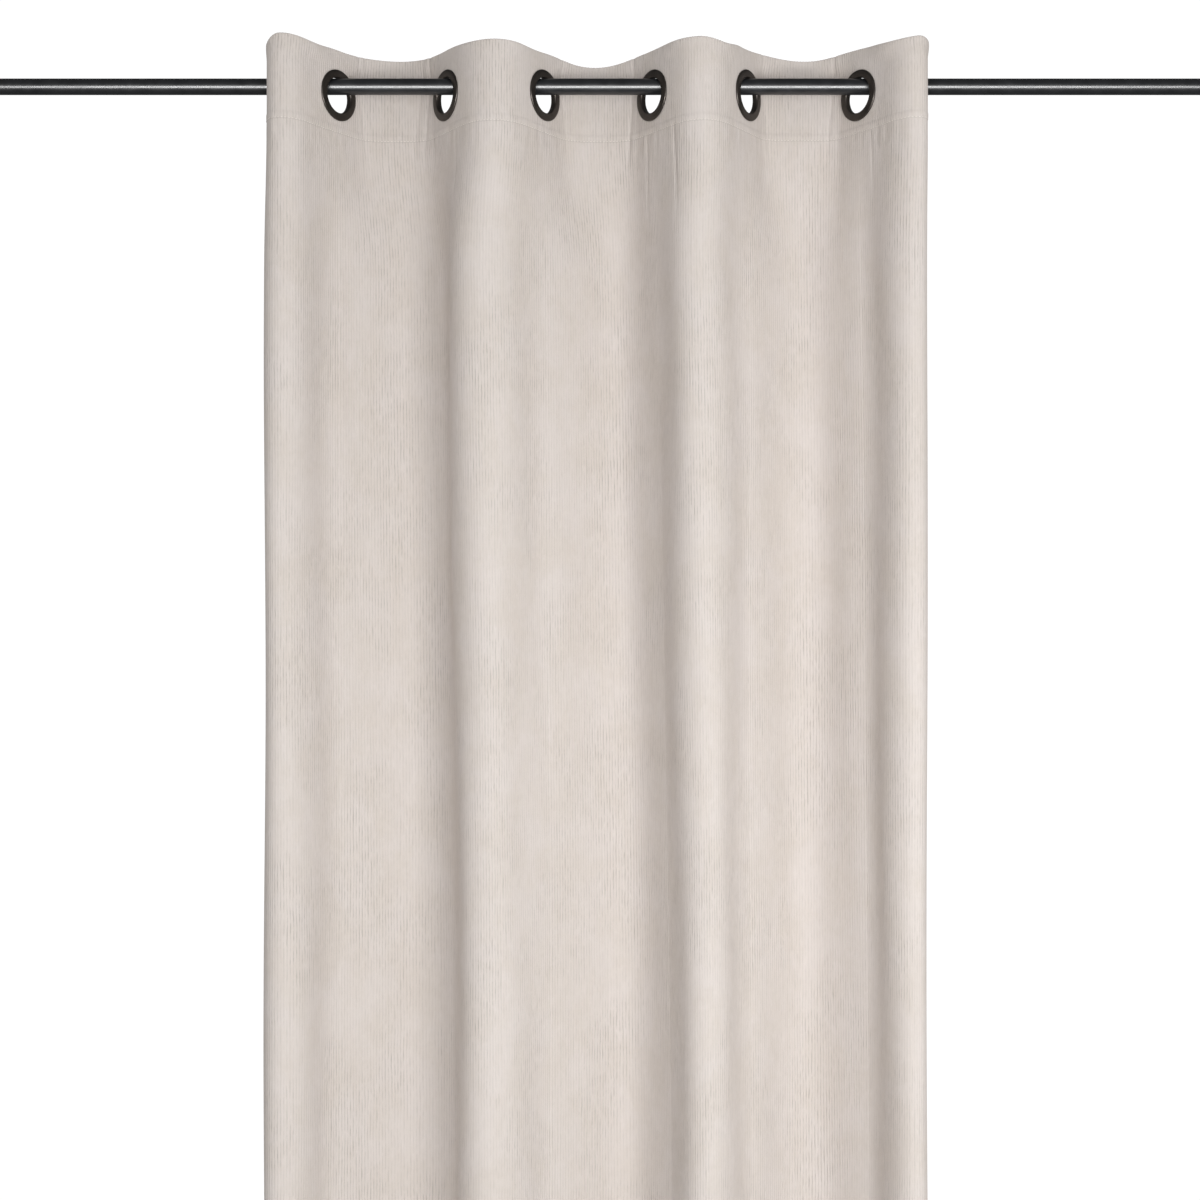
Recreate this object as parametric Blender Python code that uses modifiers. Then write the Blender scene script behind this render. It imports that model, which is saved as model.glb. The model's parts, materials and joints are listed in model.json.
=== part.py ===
"""An eyelet curtain hung in folds on a round rod, held off the wall by two brackets.

Metres, +Z up. The wall is the plane Y = 0, the curtain hangs on its -Y side, and the origin lies on
the wall, level with the rod and half way along it. Seen from above, the cloth is one line that weaves
through its eyelets: each pleat is the stiff stretch round one eyelet, and it folds against the next
one on an upright fold line. As the curtain is drawn, each pleat turns about its own eyelet, every
second one the other way, so all the eyelets stay on the rod.
"""

import math

import bmesh
import bpy
from mathutils import Matrix, Vector

# Rod
ROD_RADIUS = 0.0095
ROD_WALL = 0.0012
ROD_LENGTH = 1.600
ROD_STANDOFF = 0.100  # from the wall to the rod's axis

# Curtain cloth
CLOTH_HEIGHT = 2.400
CLOTH_ABOVE_ROD = 0.0428  # from the rod's axis up to the cloth's top edge
CLOTH_THICKNESS = 0.002
EYELET_PITCH = 0.168  # from eyelet to eyelet, along the flat cloth
SIDE_MARGIN = 0.087  # from the outer eyelets to the side edges, along the flat cloth
FIRST_EYELET_X = -0.387

# How the curtain is drawn: each gap between eyelets, as a share of their pitch along the cloth
GAP_SHARES = (0.449, 0.770, 0.688, 0.770, 0.667, 0.791, 0.383)
FOLD_HEADING = math.radians(57.0)  # of the cloth through an inner eyelet, away from the rod's direction
LEFT_HEADING = math.radians(90.0)  # of the cloth through the first eyelet
RIGHT_HEADING = math.radians(97.0)  # and through the last one

# Header band, the stiff facing sewn behind the top of the cloth
BAND_HEIGHT = 0.098
BAND_THICKNESS = 0.0015
BAND_BELOW_EDGE = 0.002

# Eyelets
EYELET_HOLE_RADIUS = 0.0205
EYELET_RADIUS = 0.030
EYELET_BARREL = 0.0018  # wall of the barrel
EYELET_FLARE = 0.0012  # how much wider the barrel is at its end than at its waist
LIP_FLARE = 0.3  # share of the flare that the flange's inner edge keeps
WAIST_FLARE = 0.25  # share of the flare half way down the barrel
EYELET_CROWN = 0.0026
WASHER_CROWN = 0.0018
BARREL_REACH = 0.8  # share of the washer's crown that the barrel reaches through
ROD_TO_EYELET = 0.00045  # between the top of the rod and the eyelet that hangs on it

# Brackets
BRACKET_X = 0.780
PLATE_RADIUS = 0.022
PLATE_THICKNESS = 0.004
PLATE_EDGE = 0.35  # share of the thickness that its edges are broken by
BOSS_RADIUS = 0.0095
BOSS_HEIGHT = 0.010
ARM_RADIUS = 0.006
CRADLE_WIDTH = 0.014
CRADLE_WALL = 0.0042

# Screws
SCREW_RADIUS = 0.002
SET_HEAD_RADIUS = 0.006
SET_HEAD_HEIGHT = 0.006
WALL_HEAD_RADIUS = 0.004
WALL_HEAD_HEIGHT = 0.0024
HEAD_FLAT = 0.75  # share of the head's radius that is flat on top
HEAD_DOME, HEAD_SIDE = 0.2, 0.6  # shares of the head's height where its dome starts and ends
WALL_SCREW_DEPTH = 0.030  # how far it reaches into the wall
SCREW_SHANK = 0.85  # share of the depth before the point
WALL_SCREW_OFFSET = 0.0150  # above and below the middle of the plate

# Finials
FINIAL_RADIUS = 0.0135
FINIAL_LENGTH = 0.034
FINIAL_NOSE = 0.4  # share of the length that is rounded
SPIGOT_LENGTH = 0.018

# Clearances
FIT_GAP = 0.0003
FOLD_MARGIN = 0.001  # from a fold line to the edge of the cloth on each side
BAND_FOLD_MARGIN = 0.0025

# Mesh steps
ROUND_STEPS = 28
ROD_STEPS = 36
FOLD_STEPS = 7
LINE_STEPS = 108

ROD_AXIS = Vector((0.0, -ROD_STANDOFF, 0.0))
RING_DROP = EYELET_HOLE_RADIUS - ROD_RADIUS - ROD_TO_EYELET
BARREL_RADIUS = EYELET_HOLE_RADIUS + EYELET_BARREL
CLOTH_FACE = CLOTH_THICKNESS / 2
BAND_OFFSET = CLOTH_FACE + FIT_GAP + BAND_THICKNESS / 2
BAND_BACK = BAND_OFFSET + BAND_THICKNESS / 2
PLEATS = len(GAP_SHARES) + 1

COLOURS = {
    "cloth": ((0.686, 0.610, 0.558), 0.95, 0.0),
    "band": ((0.720, 0.660, 0.610), 0.95, 0.0),
    "eyelet": ((0.045, 0.042, 0.040), 0.35, 1.0),
    "rod": ((0.012, 0.012, 0.013), 0.25, 0.6),
    "bracket": ((0.014, 0.014, 0.015), 0.35, 0.6),
    "screw": ((0.030, 0.030, 0.030), 0.40, 1.0),
}


# ---------------------------------------------------------------- scene and objects


def clear_scene():
    for obj in list(bpy.data.objects):
        bpy.data.objects.remove(obj)


def new_collection(name, hidden=False):
    collection = bpy.data.collections.new(name)
    bpy.context.scene.collection.children.link(collection)
    collection.hide_render = hidden
    return collection


def new_material(name, colour, roughness, metallic):
    material = bpy.data.materials.new(name)
    material.use_nodes = True
    shader = material.node_tree.nodes["Principled BSDF"]
    shader.inputs["Base Color"].default_value = (*colour, 1.0)
    shader.inputs["Roughness"].default_value = roughness
    shader.inputs["Metallic"].default_value = metallic
    return material


def add_object(name, mesh, collection, finish=None):
    obj = bpy.data.objects.new(name, mesh)
    collection.objects.link(obj)
    if finish:
        mesh.materials.append(new_material(name, *COLOURS[finish]))
    return obj


def mesh_from(bm, name, smooth=True):
    mesh = bpy.data.meshes.new(name)
    bm.to_mesh(mesh)
    bm.free()
    if smooth:
        mesh.shade_smooth()
        mesh.set_sharp_from_angle(angle=math.radians(35))
    return mesh


def add_modifier(obj, kind, **settings):
    modifier = obj.modifiers.new(kind.title(), kind)
    for setting, value in settings.items():
        setattr(modifier, setting, value)
    return modifier


def make_cutter(obj):
    obj.hide_render = True
    obj.display_type = "WIRE"
    return obj


def cut(obj, cutter):
    add_modifier(obj, "BOOLEAN", operation="DIFFERENCE", solver="EXACT", object=cutter)


def join(obj, other):
    add_modifier(obj, "BOOLEAN", operation="UNION", solver="EXACT", object=other)


def facing(direction, at):
    """The place of a piece whose own +Z points along the direction, with its +Y up where it can be."""
    forward = Vector(direction).normalized()
    up = Vector((0, 1, 0)) if abs(forward.z) > 0.9 else Vector((0, 0, 1))
    side = up.cross(forward).normalized()
    turned = Matrix((side, forward.cross(side), forward)).transposed()
    return Matrix.Translation(at) @ turned.to_4x4()


def ride_on(obj, empty):
    """Parents the piece to its joint's empty and leaves it where it is."""
    obj.parent = empty
    obj.matrix_parent_inverse = empty.matrix_basis.inverted()


def add_axis(name, at, collection):
    """An empty on a joint's axis, for the pieces that turn about it."""
    empty = bpy.data.objects.new(name, None)
    empty.location = at
    collection.objects.link(empty)
    return empty


# ---------------------------------------------------------------- simple solids


def cylinder(name, radius, length, collection, finish=None, steps=ROUND_STEPS):
    """A cylinder along its own Z, centred on its origin."""
    bm = bmesh.new()
    bmesh.ops.create_cone(
        bm, cap_ends=True, segments=steps, radius1=radius, radius2=radius, depth=length
    )
    return add_object(name, mesh_from(bm, name), collection, finish)


def box(name, size, centre, collection):
    bm = bmesh.new()
    bmesh.ops.create_cube(bm, size=1.0)
    bmesh.ops.scale(bm, vec=size, verts=bm.verts)
    bmesh.ops.translate(bm, vec=centre, verts=bm.verts)
    return add_object(name, mesh_from(bm, name, smooth=False), collection)


def turned(name, profile, collection, finish, closed, steps=ROUND_STEPS):
    """A turned piece: its (radius, height) points run down the outer side, round its own Z axis."""
    bm = bmesh.new()
    points = [bm.verts.new((radius, 0.0, height)) for radius, height in profile]
    for first, second in zip(points, points[1:]):
        bm.edges.new((first, second))
    if closed:
        bm.edges.new((points[-1], points[0]))
    obj = add_object(name, mesh_from(bm, name), collection, finish)
    add_modifier(
        obj,
        "SCREW",
        steps=steps,
        render_steps=steps,
        use_merge_vertices=True,
        merge_threshold=0.00001,
        use_smooth_shade=True,
    )
    return obj


# ---------------------------------------------------------------- the cloth's line, seen from above


def turning_heading(start, end, lift, skew, share):
    """The cloth's heading part way round a fold; lift and skew shape the fold."""
    straight = start + (end - start) * share
    return straight + lift * math.sin(math.pi * share) + skew * math.sin(2 * math.pi * share)


def fold_stations(start, end, lift, skew):
    """(along, across, ahead) from one eyelet to the next: flat beside the rings, bent between."""
    stations = [(0.0, 0.0, 0.0)]
    turning = EYELET_PITCH - 2 * EYELET_RADIUS
    steps = [(EYELET_RADIUS, start)]
    for step in range(LINE_STEPS):
        share = (step + 0.5) / LINE_STEPS
        steps.append((turning / LINE_STEPS, turning_heading(start, end, lift, skew, share)))
    steps.append((EYELET_RADIUS, end))
    for length, heading in steps:
        along, across, ahead = stations[-1]
        across += length * math.cos(heading)
        ahead += length * math.sin(heading)
        stations.append((along + length, across, ahead))
    return stations


def fit_fold(start, end, gap):
    """The stations of a fold that starts and ends on the rod with this gap, found by Newton's method."""
    lift, skew, nudge = 0.0, 0.0, 1e-5
    for _ in range(60):
        _, across, ahead = fold_stations(start, end, lift, skew)[-1]
        _, lift_across, lift_ahead = fold_stations(start, end, lift + nudge, skew)[-1]
        _, skew_across, skew_ahead = fold_stations(start, end, lift, skew + nudge)[-1]
        a, b = (lift_across - across) / nudge, (skew_across - across) / nudge
        c, d = (lift_ahead - ahead) / nudge, (skew_ahead - ahead) / nudge
        wide, deep = gap - across, -ahead
        scale = a * d - b * c
        lift += max(-0.3, min(0.3, (wide * d - b * deep) / scale))
        skew += max(-0.3, min(0.3, (a * deep - wide * c) / scale))
    return fold_stations(start, end, lift, skew)


def eyelet_heading(index):
    if index == 0:
        return LEFT_HEADING
    if index == PLEATS - 1:
        return -RIGHT_HEADING
    return FOLD_HEADING if index % 2 == 0 else -FOLD_HEADING


def eyelet_x(index):
    return FIRST_EYELET_X + EYELET_PITCH * sum(GAP_SHARES[:index])


def cloth_line():
    """Stations (along, x, ahead) from the left edge of the cloth to its right edge."""
    start, end = eyelet_heading(0), eyelet_heading(PLEATS - 1)
    edge_x = FIRST_EYELET_X - SIDE_MARGIN * math.cos(start)
    stations = [(0.0, edge_x, -SIDE_MARGIN * math.sin(start))]
    for index, share in enumerate(GAP_SHARES):
        begin = SIDE_MARGIN + index * EYELET_PITCH
        gap = share * EYELET_PITCH
        fold = fit_fold(eyelet_heading(index), eyelet_heading(index + 1), gap)
        for along, across, ahead in fold[:-1]:
            stations.append((begin + along, eyelet_x(index) + across, ahead))
    last_along = SIDE_MARGIN + (PLEATS - 1) * EYELET_PITCH
    last_x = eyelet_x(PLEATS - 1)
    stations.append((last_along, last_x, 0.0))
    edge_x = last_x + SIDE_MARGIN * math.cos(end)
    stations.append((last_along + SIDE_MARGIN, edge_x, SIDE_MARGIN * math.sin(end)))
    return stations


def cloth_at(line, along):
    """World (x, y) of the cloth's middle at a distance along it."""
    for first, second in zip(line, line[1:]):
        if along <= second[0]:
            break
    share = (along - first[0]) / (second[0] - first[0])
    x = first[1] + share * (second[1] - first[1])
    ahead = first[2] + share * (second[2] - first[2])
    return x, ROD_AXIS.y - ahead


def fold_along(line, index):
    """Where the cloth crosses the mid-plane between an eyelet and the next one: their fold line."""
    middle = (eyelet_x(index) + eyelet_x(index + 1)) / 2
    begin = SIDE_MARGIN + index * EYELET_PITCH
    for first, second in zip(line, line[1:]):
        if first[0] >= begin and first[1] <= middle < second[1]:
            share = (middle - first[1]) / (second[1] - first[1])
            return first[0] + share * (second[0] - first[0])
    raise ValueError("the cloth doesn't cross the middle of its gap")


def pleat_outline(line, index):
    """World (x, y) points of a pleat's middle seen from above, clear of its fold lines."""
    total = 2 * SIDE_MARGIN + (PLEATS - 1) * EYELET_PITCH
    start = fold_along(line, index - 1) + FOLD_MARGIN if index > 0 else 0.0
    end = fold_along(line, index) - FOLD_MARGIN if index < PLEATS - 1 else total
    centre = SIDE_MARGIN + index * EYELET_PITCH
    outline = []
    for low, high in ((start, centre - EYELET_RADIUS), (centre + EYELET_RADIUS, end)):
        for step in range(FOLD_STEPS + 1):
            outline.append(cloth_at(line, low + (high - low) * step / FOLD_STEPS))
    return [Vector(point) for point in outline]


def band_outline(cloth):
    """The header band's line: beside the cloth's, behind its face, and a little shorter at both ends."""
    directions = [(b - a).normalized() for a, b in zip(cloth, cloth[1:])]
    directions = [directions[0], *directions, directions[-1]]
    outline = []
    for point, before, after in zip(cloth, directions, directions[1:]):
        along = (before + after).normalized()
        reach = BAND_OFFSET / before.dot(along)
        outline.append(point + reach * Vector((-along.y, along.x)))
    trim = BAND_FOLD_MARGIN - FOLD_MARGIN
    outline[0] += trim * directions[0]
    outline[-1] -= trim * directions[-1]
    return outline


# ---------------------------------------------------------------- the curtain


def hanging_strip(name, outline, top, height, thickness, collection, finish):
    """A strip of cloth that stands upright over its outline."""
    bm = bmesh.new()
    points = [bm.verts.new((x, y, top)) for x, y in outline]
    edges = [bm.edges.new(pair) for pair in zip(points, points[1:])]
    lower = bmesh.ops.extrude_edge_only(bm, edges=edges)["geom"]
    moved = [item for item in lower if isinstance(item, bmesh.types.BMVert)]
    bmesh.ops.translate(bm, vec=(0, 0, -height), verts=moved)
    bmesh.ops.recalc_face_normals(bm, faces=bm.faces)
    obj = add_object(name, mesh_from(bm, name), collection, finish)
    add_modifier(obj, "SOLIDIFY", thickness=thickness, offset=0.0, use_even_offset=True)
    return obj


def eyelet_place(index):
    """The place of an eyelet, with its own +Z towards the face of the cloth."""
    heading = eyelet_heading(index)
    normal = (-math.sin(heading), -math.cos(heading), 0.0)
    return facing(normal, (eyelet_x(index), ROD_AXIS.y, -RING_DROP))


def eyelet_front_profile():
    """A crowned flange on the face of the cloth and a waisted barrel through it."""
    seat = CLOTH_FACE + FIT_GAP
    end = -(BAND_BACK + FIT_GAP + WASHER_CROWN * BARREL_REACH)
    lip = EYELET_HOLE_RADIUS + EYELET_FLARE * LIP_FLARE
    middle, half = (EYELET_RADIUS + lip) / 2, (EYELET_RADIUS - lip) / 2
    crown = []
    for step in range(6):
        angle = math.pi * step / 5
        crown.append((middle - half * math.cos(angle), seat + EYELET_CROWN * math.sin(angle)))
    barrel = [(BARREL_RADIUS, seat), (BARREL_RADIUS, end)]
    inside = [
        (EYELET_HOLE_RADIUS + EYELET_FLARE, end),
        (EYELET_HOLE_RADIUS + EYELET_FLARE * WAIST_FLARE, end / 2),
        (EYELET_HOLE_RADIUS, 0.0),
    ]
    return crown + barrel + inside


def eyelet_back_profile():
    """A crowned washer behind the header band, round the end of the barrel."""
    seat = -(BAND_BACK + FIT_GAP)
    inner = BARREL_RADIUS + FIT_GAP
    middle, half = (EYELET_RADIUS + inner) / 2, (EYELET_RADIUS - inner) / 2
    crown = []
    for step in range(5):
        angle = math.pi * step / 4
        crown.append((middle + half * math.cos(angle), seat - WASHER_CROWN * math.sin(angle)))
    return crown


def eyelet_cutter(index, helpers):
    """Cuts the hole that the barrel goes through, its flats clear of the barrel."""
    radius = (BARREL_RADIUS + FIT_GAP) / math.cos(math.pi / ROUND_STEPS)
    cutter = cylinder(f"eyelet_cutter_{index}", radius, 12 * CLOTH_THICKNESS, helpers)
    cutter.matrix_basis = eyelet_place(index)
    return make_cutter(cutter)


def make_pleat(line, index, parts, helpers):
    """One pleat: its stretch of the cloth and of the header band, and the two halves of its eyelet."""
    cutter = eyelet_cutter(index, helpers)
    outline = pleat_outline(line, index)
    cloth = hanging_strip(
        f"panel_pleat_{index}",
        outline,
        CLOTH_ABOVE_ROD,
        CLOTH_HEIGHT,
        CLOTH_THICKNESS,
        parts,
        "cloth",
    )
    band = hanging_strip(
        f"header_band_{index}",
        band_outline(outline),
        CLOTH_ABOVE_ROD - BAND_BELOW_EDGE,
        BAND_HEIGHT,
        BAND_THICKNESS,
        parts,
        "band",
    )
    front = turned(f"eyelet_front_{index}", eyelet_front_profile(), parts, "eyelet", True)
    back = turned(f"eyelet_back_{index}", eyelet_back_profile(), parts, "eyelet", True)
    for ring in (front, back):
        ring.matrix_basis = eyelet_place(index)
    for strip in (cloth, band):
        cut(strip, cutter)
    joint = add_axis(f"pleat_{index}_axis", joint_place(line, index), parts)
    for piece in (cloth, band, front, back):
        ride_on(piece, joint)


def joint_place(line, index):
    """A point on the axis that a pleat turns about: its first eyelet, or the fold line before it."""
    if index == 0:
        return (eyelet_x(0), ROD_AXIS.y, 0.0)
    return (*cloth_at(line, fold_along(line, index - 1)), 0.0)


# ---------------------------------------------------------------- rod, finials and brackets


def make_rod(parts):
    half, inner = ROD_LENGTH / 2, ROD_RADIUS - ROD_WALL
    profile = [(ROD_RADIUS, half), (ROD_RADIUS, -half), (inner, -half), (inner, half)]
    rod = turned("rod_tube", profile, parts, "rod", True, steps=ROD_STEPS)
    rod.matrix_basis = facing((1, 0, 0), ROD_AXIS)


def finial_profile():
    """A round-nosed cap over the end of the rod, with a spigot inside the tube."""
    spigot = ROD_RADIUS - ROD_WALL - FIT_GAP
    nose = FINIAL_NOSE * FINIAL_LENGTH
    points = []
    for step in range(6):
        angle = math.pi / 2 * step / 5
        radius = FINIAL_RADIUS * math.sin(angle)
        points.append((radius, FINIAL_LENGTH - nose * (1 - math.cos(angle))))
    points += [(FINIAL_RADIUS, FIT_GAP), (spigot, FIT_GAP), (spigot, -SPIGOT_LENGTH)]
    return points + [(0.0, -SPIGOT_LENGTH)]


def make_finial(side, sign, parts):
    end = ROD_AXIS + Vector((sign * ROD_LENGTH / 2, 0, 0))
    finial = turned(f"finial_{side}", finial_profile(), parts, "rod", False)
    finial.matrix_basis = facing((sign, 0, 0), end)
    ride_on(finial, add_axis(f"finial_{side}_axis", end, parts))


def wall_plate_profile():
    """A disc on the wall with a socketed boss in its middle."""
    socket = ARM_RADIUS + FIT_GAP
    edge = PLATE_THICKNESS * PLATE_EDGE
    return [
        (BOSS_RADIUS - edge, BOSS_HEIGHT + PLATE_THICKNESS),
        (BOSS_RADIUS, BOSS_HEIGHT + PLATE_THICKNESS - edge),
        (BOSS_RADIUS, PLATE_THICKNESS),
        (PLATE_RADIUS - edge, PLATE_THICKNESS),
        (PLATE_RADIUS, PLATE_THICKNESS - edge),
        (PLATE_RADIUS, 0.0),
        (0.0, 0.0),
        (0.0, PLATE_THICKNESS),
        (socket, PLATE_THICKNESS),
        (socket, BOSS_HEIGHT + PLATE_THICKNESS),
    ]


def make_wall_plate(side, sign, parts, helpers):
    plate = turned(f"wall_plate_{side}", wall_plate_profile(), parts, "bracket", True)
    plate.matrix_basis = facing((0, -1, 0), (sign * BRACKET_X, 0, 0))
    for level, height in (("upper", WALL_SCREW_OFFSET), ("lower", -WALL_SCREW_OFFSET)):
        name = f"{side}_{level}"
        at = (sign * BRACKET_X, 0, height)
        hole = cylinder(f"wall_hole_{name}", SCREW_RADIUS + FIT_GAP, 0.05, helpers)
        hole.matrix_basis = facing((0, -1, 0), at)
        cut(plate, make_cutter(hole))
        make_wall_screw(f"wall_screw_{name}", at, parts)


def make_wall_screw(name, at, parts):
    """A pan-headed screw through the plate and into the wall."""
    seat = PLATE_THICKNESS + FIT_GAP
    top = seat + WALL_HEAD_HEIGHT
    profile = [
        (0.0, top),
        (WALL_HEAD_RADIUS * HEAD_FLAT, top - WALL_HEAD_HEIGHT * HEAD_DOME),
        (WALL_HEAD_RADIUS, top - WALL_HEAD_HEIGHT * HEAD_SIDE),
        (WALL_HEAD_RADIUS, seat),
        (SCREW_RADIUS, seat),
        (SCREW_RADIUS, -WALL_SCREW_DEPTH * SCREW_SHANK),
        (0.0, -WALL_SCREW_DEPTH),
    ]
    screw = turned(name, profile, parts, "screw", False, steps=16)
    screw.matrix_basis = facing((0, -1, 0), at)


def make_bracket_arm(side, sign, parts, helpers):
    """A bar from the wall plate to a cradle that is open at the top, so that the rod drops in."""
    x = sign * BRACKET_X
    inner = ROD_RADIUS + FIT_GAP
    outer = inner + CRADLE_WALL
    centre = Vector((x, ROD_AXIS.y, 0))
    cradle = cylinder(f"bracket_arm_{side}", outer, CRADLE_WIDTH, parts, "bracket", ROD_STEPS)
    cradle.matrix_basis = facing((1, 0, 0), centre)
    root_y, tip_y = -(PLATE_THICKNESS + FIT_GAP), ROD_AXIS.y + inner + CRADLE_WALL / 2
    bar = cylinder(f"arm_bar_{side}", ARM_RADIUS, root_y - tip_y, helpers)
    bar.matrix_basis = facing((0, 1, 0), (x, (root_y + tip_y) / 2, 0))
    join(cradle, make_cutter(bar))
    bore_radius = inner / math.cos(math.pi / ROD_STEPS)
    bore = cylinder(f"cradle_bore_{side}", bore_radius, 2 * CRADLE_WIDTH, helpers, None, ROD_STEPS)
    bore.matrix_basis = facing((1, 0, 0), centre)
    cut(cradle, make_cutter(bore))
    mouth_size = (2 * CRADLE_WIDTH, 2 * inner, 2 * outer)
    mouth = box(f"cradle_mouth_{side}", mouth_size, centre + Vector((0, 0, outer)), helpers)
    cut(cradle, make_cutter(mouth))
    thread = cylinder(f"set_hole_{side}", SCREW_RADIUS + FIT_GAP, 2 * CRADLE_WALL, helpers)
    thread.location = centre - Vector((0, 0, (inner + outer) / 2))
    cut(cradle, make_cutter(thread))


def make_set_screw(side, sign, parts):
    """A thumb screw under the cradle, with its tip against the rod."""
    tip = -(ROD_RADIUS + FIT_GAP)
    seat = tip - CRADLE_WALL - FIT_GAP
    low = seat - SET_HEAD_HEIGHT
    edge = SET_HEAD_HEIGHT / 6
    profile = [
        (0.0, tip),
        (SCREW_RADIUS, tip),
        (SCREW_RADIUS, seat),
        (SET_HEAD_RADIUS - edge, seat),
        (SET_HEAD_RADIUS, seat - edge),
        (SET_HEAD_RADIUS, low + edge),
        (SET_HEAD_RADIUS - edge, low),
        (0.0, low),
    ]
    centre = Vector((sign * BRACKET_X, ROD_AXIS.y, 0))
    screw = turned(f"set_screw_{side}", profile, parts, "screw", False, steps=20)
    screw.location = centre
    ride_on(screw, add_axis(f"set_screw_{side}_axis", centre, parts))


def main():
    clear_scene()
    parts = new_collection("curtain_on_rod")
    helpers = new_collection("cutters", hidden=True)
    line = cloth_line()
    for index in range(PLEATS):
        make_pleat(line, index, parts, helpers)
    make_rod(parts)
    for side, sign in (("left", -1), ("right", 1)):
        make_finial(side, sign, parts)
        make_wall_plate(side, sign, parts, helpers)
        make_bracket_arm(side, sign, parts, helpers)
        make_set_screw(side, sign, parts)


main()
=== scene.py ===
import json
import math

import bmesh
import bpy
import numpy as np
from bpy.props import FloatProperty, FloatVectorProperty, IntProperty, PointerProperty
from mathutils import Matrix, Vector


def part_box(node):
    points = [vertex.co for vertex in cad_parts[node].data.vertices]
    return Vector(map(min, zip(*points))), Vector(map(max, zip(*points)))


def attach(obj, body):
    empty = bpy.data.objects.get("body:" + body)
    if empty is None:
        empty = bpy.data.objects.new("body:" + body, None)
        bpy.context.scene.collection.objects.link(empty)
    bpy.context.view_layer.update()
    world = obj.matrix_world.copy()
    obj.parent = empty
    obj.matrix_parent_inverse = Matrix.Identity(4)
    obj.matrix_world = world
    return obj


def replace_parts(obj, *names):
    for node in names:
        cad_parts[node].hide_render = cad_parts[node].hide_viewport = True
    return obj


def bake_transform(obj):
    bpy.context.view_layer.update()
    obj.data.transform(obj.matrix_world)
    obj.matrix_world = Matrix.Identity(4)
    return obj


bl_info = {
    "name": "Eyelet curtain on a rod",
    "version": (1, 0, 0),
    "blender": (4, 5, 0),
    "location": "3D View > Sidebar > Curtain",
    "description": "Hangs a ribbed velvet curtain with metal eyelets on a black rod",
    "category": "Object",
}

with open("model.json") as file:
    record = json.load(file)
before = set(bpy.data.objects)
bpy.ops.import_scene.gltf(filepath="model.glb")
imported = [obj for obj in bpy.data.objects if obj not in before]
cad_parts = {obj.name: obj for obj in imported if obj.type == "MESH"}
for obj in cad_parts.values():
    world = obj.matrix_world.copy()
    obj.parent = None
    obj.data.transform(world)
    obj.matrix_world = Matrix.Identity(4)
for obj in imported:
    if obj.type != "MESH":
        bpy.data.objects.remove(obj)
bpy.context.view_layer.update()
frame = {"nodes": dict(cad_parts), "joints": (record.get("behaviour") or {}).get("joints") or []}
JOINTS = {joint["name"]: joint for joint in frame["joints"]}
PLEATS = 1 + sum(name.startswith("fold_") for name in JOINTS)

# Places that the frame gives, in metres
ROD_Y = JOINTS["curtain_draw"]["pos_m"][1]
CLOTH_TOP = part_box("panel_pleat_0")[1].z
CLOTH_LENGTH = CLOTH_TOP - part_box("panel_pleat_0")[0].z
RING_Z = sum(corner.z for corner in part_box("eyelet_back_1")) / 2
RING_RADIUS = (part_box("eyelet_back_1")[1].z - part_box("eyelet_back_1")[0].z) / 2
ROD_RADIUS = (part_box("rod_tube")[1].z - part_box("rod_tube")[0].z) / 2
ROD_ENDS = (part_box("rod_tube")[0].x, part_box("rod_tube")[1].x)

# The flat cloth: the same cut as the frame's pleats
EYELET_PITCH = 0.168
SIDE_MARGIN = 0.087
EYELET_DROP = CLOTH_TOP - RING_Z  # from the top edge down to the middle of an eyelet
HEADING_DEPTH = 0.100  # how far the top is turned down behind
HEADING_STITCH = 0.097  # from the top edge down to the line that holds it
HEM_DEPTH = 0.080
SIDE_HEM = 0.025
CLAMPED = 0.0055  # how far an eyelet's ring reaches over the cloth round its hole
LAYER_GAP = 0.0019  # between the middles of two layers of cloth where it is turned
HEADINGS = (90.0, -57.0, 57.0, -57.0, 57.0, -57.0, 57.0, -97.0)  # of the cloth through each eyelet
LOOSE_HEADINGS = (90.0, -36.0, 89.0, -33.0, 62.0, -34.0, 40.0, -85.0)  # and below the heading
LOOSE_TURNS = (  # where between two eyelets the loose cloth turns, and over how much of the way
    (0.42, 0.20), (0.80, 0.17), (0.40, 0.32), (0.62, 0.16), (0.45, 0.28), (0.55, 0.18),
    (0.60, 0.20),
)
TOP_TURNS = ((0.42, 0.20), None, None, None, None, None, (0.60, 0.20))  # the same for the top edge
LOOSE_DRIFT = (0.0, 0.002, 0.019, 0.008, 0.026, 0.004, 0.014, 0.0)  # sideways, at the bottom
LOOSENING = 0.17  # how far down the cloth takes to fall from the heading's folds into its own
EDGE_BULGE = (0.0055, 0.0095)  # how far the two outer folds stand out sideways
BULGE_REACH = (0.030, 0.138)  # from where to where past the outer eyelets they do
SWAYS = (  # gentle waves in the loose cloth: height, length along, length down, phase
    (0.0005, 0.093, 1.1, 0.7),
    (0.0003, 0.057, -0.8, 2.1),
    (0.0014, 0.410, 0.95, 4.0),
)
KINKS = (  # creases by the stiff eyelets: which eyelet, how far along, how deep, from, to
    (1, 0.040, 0.0011, -1.0, 0.085), (1, 0.051, 0.0006, -1.0, 0.060),
    (2, -0.054, 0.0007, -1.0, 0.070), (2, -0.042, 0.0013, -1.0, 0.085),
    (3, 0.038, 0.0008, -1.0, 0.085), (4, -0.041, 0.0012, -1.0, 0.085),
    (5, 0.039, 0.0008, -1.0, 0.085), (6, -0.045, 0.0013, -1.0, 0.085),
    (4, 0.037, 0.0015, 0.090, 0.150), (4, -0.012, 0.0009, 0.095, 0.150),
    (2, 0.020, 0.0010, 0.095, 0.140), (6, 0.018, 0.0007, 0.095, 0.130),
)
KINK_WIDTH = 0.0026
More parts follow.
